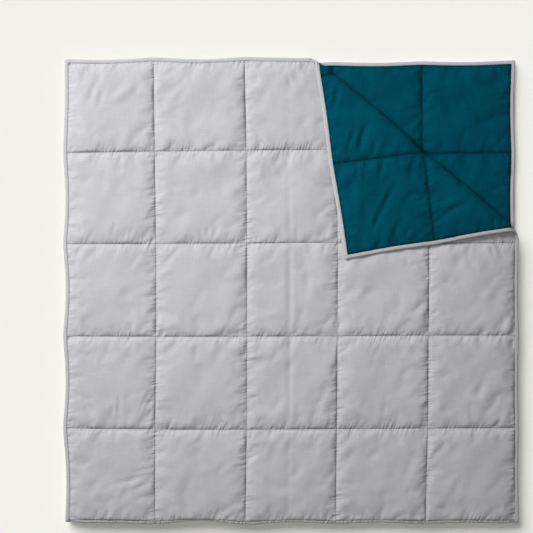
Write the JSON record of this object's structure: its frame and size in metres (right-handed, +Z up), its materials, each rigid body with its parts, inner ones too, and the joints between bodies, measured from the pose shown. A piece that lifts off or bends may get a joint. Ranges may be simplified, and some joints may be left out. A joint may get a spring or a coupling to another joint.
{
  "type": "quilted comforter, folded in half with one corner turned back",
  "caption": "Box-stitched quilted comforter, folded in half grey side out, with one corner turned back to show its teal reverse and a narrow binding round the edge.",
  "frame": {"origin": "on the surface that the comforter lies on, under the middle of its outline", "axes": "+X across the width, +Y from the folded edge to the loose edges, +Z up"},
  "size_m": [1.1408, 1.1733, 0.0534],
  "materials": {
    "grey_cloth": "smooth matt microfibre, light grey",
    "teal_cloth": "smooth matt microfibre, deep teal",
    "binding_cloth": "plain woven tape, light grey"
  },
  "bodies": {
    "root": {"quilted_body": "grey_cloth", "back_panel": "teal_cloth", "binding": "binding_cloth"}
  },
  "joints": []
}
